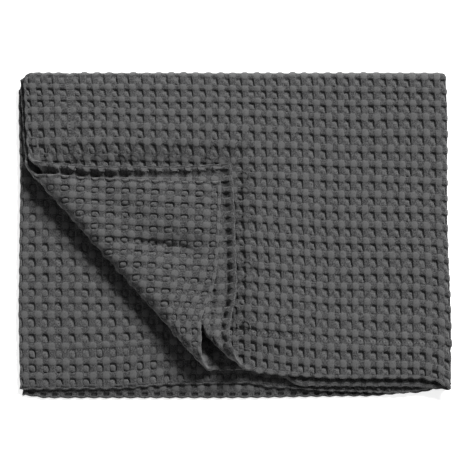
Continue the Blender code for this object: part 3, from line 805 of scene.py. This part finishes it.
def stitches(n, hems):
    """The hems' rows of stitches: where their thread shows, and where it goes into the cloth."""
    from_left, from_near = n.split(hems)
    rows = []
    for off, hem, run, start in ((from_left, HEM_WIDTH, from_near, HEM_LENGTH),
                                 (from_near, HEM_LENGTH, from_left, HEM_WIDTH)):
        on_row = n.rise(n.math("ABSOLUTE", n.math("SUBTRACT", off, hem)), THREAD_WIDTH, THREAD_WIDTH / 2)
        on_row = n.math("MULTIPLY", on_row, n.math("GREATER_THAN", run, start))
        from_hole = n.math("PINGPONG", run, STITCH_LENGTH / 2)
        shown = n.rise(from_hole, STITCH_ENDS[0] * STITCH_LENGTH, STITCH_ENDS[1] * STITCH_LENGTH)
        thread = n.math("MULTIPLY", on_row, shown)
        rows.append((thread, n.math("SUBTRACT", on_row, thread)))
    return n.math("MAXIMUM", rows[0][0], rows[1][0]), n.math("MAXIMUM", rows[0][1], rows[1][1])


def yarn_group():
    """The weave's yarns: how light each place is, with painted shade in the grooves round the knots and
    painted shadows of stray hairs, and their fine relief.
    """
    group = bpy.data.node_groups.new("waffle_yarns", "ShaderNodeTree")
    for name in ("Weave", "Hems", "Shares", "Place"):
        group.interface.new_socket(name, in_out="INPUT", socket_type="NodeSocketVector")
    for name in ("Lightness", "Relief"):
        group.interface.new_socket(name, in_out="OUTPUT", socket_type="NodeSocketFloat")
    n = Nodes(group)
    given = n.add("NodeGroupInput")
    result = n.add("NodeGroupOutput")
    across, along = n.split(given.outputs["Weave"])
    knots, length = n.split(given.outputs["Shares"])
    from_float_u = n.math("DIVIDE", n.math("PINGPONG", across, 0.5), FLOAT_HALF[0])
    from_float_v = n.math("DIVIDE", n.math("PINGPONG", along, 0.5), FLOAT_HALF[1])
    in_cell_v = n.math("SUBTRACT", n.math("FRACT", along), 0.5)
    in_cell_u = n.math("SUBTRACT", n.math("FRACT", across), 0.5)
    in_cell_u = n.math("ADD", in_cell_u, n.math("MULTIPLY", in_cell_v, CELL_SKEW))
    float_mask = n.rise(n.outward(from_float_u, from_float_v, FLOAT_SQUARE), *FLOAT_EDGE)
    cell_u = n.math("DIVIDE", in_cell_u, CELL_HALF[0][0])
    cell_v = n.math("DIVIDE", n.math("DIVIDE", in_cell_v, CELL_HALF[0][1]), length)
    cell_mask = n.rise(n.outward(cell_u, cell_v, DRAWN_CELL_SQUARE), WALL_END, WALL_START)
    knot_u = n.math("DIVIDE", in_cell_u, KNOT_HALF[0][0])
    knot_v = n.math("DIVIDE", in_cell_v, KNOT_HALF[0][1])
    knot_mask = n.rise(n.outward(knot_u, knot_v, DRAWN_KNOT_SQUARE), *KNOT_EDGE)
    knot_mask = n.math("MULTIPLY", knot_mask, knots)
    on_knot = n.math("MULTIPLY", cell_mask, knot_mask)
    # The groove round each knot, whose colour is darkened with painted shade
    groove = n.math("SUBTRACT", cell_mask, on_knot)
    fuzz = n.noise(given.outputs["Place"], FUZZ_SCALE, 4.0, 0.75)
    specks = n.rise(fuzz, *SPECK_EDGE)
    hairs = n.math("SUBTRACT", n.noise(given.outputs["Place"], HAIR_SCALE, 2.0, 0.6, 1.6), 0.5)
    hairs = n.rise(n.math("ABSOLUTE", hairs), HAIR_WIDTH, 0.0)
    patches = n.noise(given.outputs["Place"], PATCH_SCALE, 3.0, 0.6)
    smooth_yarn = n.weigh(float_mask, (on_knot, KNOT_SMOOTH))
    yarns_u = n.math("SINE", n.math("MULTIPLY", across, 2 * math.pi * YARNS_ACROSS))
    yarns_v = n.math("SINE", n.math("MULTIPLY", along, 2 * math.pi * YARNS_ALONG))
    yarns = n.math("ADD", n.math("MULTIPLY", yarns_u, float_mask),
                   n.math("MULTIPLY", yarns_v, n.math("SUBTRACT", 1.0, float_mask)))
    light = n.weigh(PLAIN_LIGHT, (float_mask, FLOAT_LIGHTER), (on_knot, KNOT_LIGHTER),
                    (groove, -GROOVE_PAINTED_SHADE), (n.math("SUBTRACT", patches, 0.5), PATCH_CONTRAST))
    rough = n.weigh(1.0, (smooth_yarn, -LESS_FUZZ))
    marks = n.weigh(0.0, (specks, SPECKS_DARKER), (hairs, HAIRS_DARKER))
    light = n.math("SUBTRACT", light, n.math("MULTIPLY", marks, rough))
    thread, holes = stitches(n, given.outputs["Hems"])
    light = n.weigh(light, (thread, THREAD_LIGHTER), (holes, -HOLES_DARKER))
    relief = n.weigh(0.0, (n.math("MULTIPLY", fuzz, rough), FUZZ_RELIEF), (yarns, YARN_RELIEF),
                     (patches, PATCH_RELIEF), (thread, SEWING_RELIEF))
    n.put(light, result.inputs["Lightness"])
    n.put(relief, result.inputs["Relief"])
    return group


def new_material(name, looks):
    """A material with its shader's looks set, the calls for its nodes, and its shader."""
    material = bpy.data.materials.new(name)
    material.use_nodes = True
    shader = material.node_tree.nodes["Principled BSDF"]
    for socket, value in looks.items():
        shader.inputs[socket].default_value = value
    return material, Nodes(material.node_tree), shader


def charcoal_cotton(group):
    """Matt charcoal cotton with a soft fuzz on its yarns."""
    material, n, shader = new_material("charcoal_cotton", COTTON_LOOKS)
    yarns = n.add("ShaderNodeGroup", node_tree=group)
    for marked, socket in (("weave", "Weave"), ("hems", "Hems"), ("shares", "Shares")):
        n.put(n.add("ShaderNodeUVMap", uv_map=marked).outputs["UV"], yarns.inputs[socket])
    n.put(n.add("ShaderNodeTexCoord").outputs["Object"], yarns.inputs["Place"])
    n.put(n.mix(yarns.outputs["Lightness"], YARN_DARK, YARN_LIGHT), shader.inputs["Base Color"])
    bump = n.add("ShaderNodeBump")
    n.put(RELIEF_STRENGTH, bump.inputs["Strength"])
    n.put(RELIEF_DEPTH, bump.inputs["Distance"])
    n.put(yarns.outputs["Relief"], bump.inputs["Height"])
    n.put(bump.outputs["Normal"], shader.inputs["Normal"])
    return material


def pale_floor():
    """A plain pale studio floor, lit from below."""
    material, n, shader = new_material("pale_floor", FLOOR_LOOKS)
    mottle = n.noise(n.add("ShaderNodeTexCoord").outputs["Object"], 3.0, 2.0, 0.4)
    n.put(n.mix(mottle, *FLOOR_TONES), shader.inputs["Base Color"])
    return material


# ---- The studio ----------------------------------------------------------------------------
CAMERA_ELEVATION = math.radians(78.0)
CAMERA_DISTANCE = 3.0
METRES_PER_PIXEL = 0.001176      # at the aim point
IMAGE_PIXELS = 470
AIM = (0.0028, -0.0006, 0.0)
SENSOR_WIDTH = 36.0              # millimetres
# Each light: its name, its place, its size in metres and its watts
LIGHTS = (("key", (3.05, 4.20, 4.70), 2.40, 860.0), ("fill", (-2.4, -1.8, 3.0), 3.2, 20.0))
ROOM_LIGHT = 0.115
FLOOR_REACH = 4.0
FLOOR_LEVEL = -0.0005            # just below the blanket


def aim_at(thing, place, target):
    thing.location = place
    thing.rotation_euler = (Vector(target) - Vector(place)).to_track_quat("-Z", "Y").to_euler()


def add_object(name, data):
    thing = bpy.data.objects.new(name, data)
    bpy.context.scene.collection.objects.link(thing)
    return thing


def make_camera():
    data = bpy.data.cameras.new("camera")
    camera = add_object("camera", data)
    data.sensor_width = SENSOR_WIDTH
    data.lens = data.sensor_width * CAMERA_DISTANCE / (METRES_PER_PIXEL * IMAGE_PIXELS)
    place = (AIM[0], AIM[1] - CAMERA_DISTANCE * math.cos(CAMERA_ELEVATION),
             AIM[2] + CAMERA_DISTANCE * math.sin(CAMERA_ELEVATION))
    aim_at(camera, place, AIM)
    bpy.context.scene.camera = camera


def make_light(name, place, size, watts):
    data = bpy.data.lights.new(name, "AREA")
    data.shape = "SQUARE"
    data.size = size
    data.energy = watts
    aim_at(add_object(name, data), place, (0.0, 0.0, 0.0))


def make_studio():
    make_camera()
    for light in LIGHTS:
        make_light(*light)
    world = bpy.data.worlds.new("studio")
    world.use_nodes = True
    background = world.node_tree.nodes["Background"]
    background.inputs["Color"].default_value = (1.0, 1.0, 1.0, 1.0)
    background.inputs["Strength"].default_value = ROOM_LIGHT
    bpy.context.scene.world = world
    make_floor()
    bpy.context.scene.view_settings.view_transform = "Standard"


def make_floor():
    mesh = bpy.data.meshes.new("floor")
    corners = [(FLOOR_REACH * x, FLOOR_REACH * y, 0.0) for x, y in ((-1, -1), (1, -1), (1, 1), (-1, 1))]
    mesh.from_pydata(corners, [], [(0, 1, 2, 3)])
    mesh.materials.append(pale_floor())
    floor = add_object("floor", mesh)
    floor.location.z = FLOOR_LEVEL


# ---- The blanket ---------------------------------------------------------------------------
# Panels meet one cell past the folds, on the layer below, where the join is hidden. The places of
# their other joins are counted in cells from the first float.
SIDE_JOIN = SIDE_STRAIGHT + 2 * HALF_SIDE_TURN + CELL_WIDTH
FAR_JOIN = FAR_STRAIGHT + 2 * HALF_FAR_TURN + CELL_LENGTH
EDGE_JOIN = FIRST_FLOAT_U + 2 * CELL_WIDTH
CORNER_JOIN = FIRST_FLOAT_U + 19 * CELL_WIDTH
FLAP_JOIN = FIRST_FLOAT_U + 51 * CELL_WIDTH
HEM_BAND = FIRST_FLOAT_V + 38 * CELL_LENGTH
NEAR_BAND = FIRST_FLOAT_V + 3 * CELL_LENGTH
FLAP_END = FIRST_FLOAT_V + 15 * CELL_LENGTH
# Each panel: its name, its span along u and along v, and the detail of its right and wrong sides
PANELS = (
    ("top_edge", (0.0, EDGE_JOIN), (0.0, FAR_JOIN), FINE, MIDDLING),
    ("top_corner", (EDGE_JOIN, CORNER_JOIN), (0.0, NEAR_BAND), FINE, MIDDLING),
    ("top_middle", (EDGE_JOIN, CORNER_JOIN), (NEAR_BAND, FAR_JOIN), FINE, PLAIN),
    ("top_side", (CORNER_JOIN, SIDE_JOIN), (0.0, FAR_JOIN), FINE, PLAIN),
    ("second_main", (SIDE_JOIN, FLAP_JOIN), (NEAR_BAND, FAR_JOIN), PLAIN, PLAIN),
    ("second_hem", (SIDE_JOIN, FLAP_JOIN), (0.0, NEAR_BAND), PLAIN, MIDDLING),
    ("second_corner", (FLAP_JOIN, CLOTH_WIDTH), (0.0, FLAP_END), FINE, PLAIN),
    ("second_far", (FLAP_JOIN, CLOTH_WIDTH), (FLAP_END, FAR_JOIN), MIDDLING, PLAIN),
    ("third_main", (SIDE_JOIN, FLAP_JOIN), (FAR_JOIN, HEM_BAND), PLAIN, PLAIN),
    ("third_hem", (SIDE_JOIN, FLAP_JOIN), (HEM_BAND, CLOTH_LENGTH), MIDDLING, PLAIN),
    ("third_corner", (FLAP_JOIN, CLOTH_WIDTH), (FAR_JOIN, CLOTH_LENGTH), FINE, PLAIN),
    ("fourth_main", (0.0, SIDE_JOIN), (FAR_JOIN, HEM_BAND), PLAIN, PLAIN),
    ("fourth_hem", (0.0, SIDE_JOIN), (HEM_BAND, CLOTH_LENGTH), PLAIN, MIDDLING),
)


def make_blanket(material):
    for name, u_span, v_span, *details in PANELS:
        piece = add_object(name, panel_mesh(name, u_span, v_span, *details))
        piece.data.materials.append(material)
        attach(piece, "root")
        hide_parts("blanket")


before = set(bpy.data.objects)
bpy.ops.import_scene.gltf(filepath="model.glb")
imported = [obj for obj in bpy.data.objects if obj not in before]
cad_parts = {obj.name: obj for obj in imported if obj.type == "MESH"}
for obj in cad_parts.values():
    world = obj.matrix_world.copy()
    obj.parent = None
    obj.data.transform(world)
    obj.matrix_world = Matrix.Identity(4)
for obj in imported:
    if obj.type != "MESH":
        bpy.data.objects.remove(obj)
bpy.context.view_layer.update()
make_studio()
make_blanket(charcoal_cotton(yarn_group()))
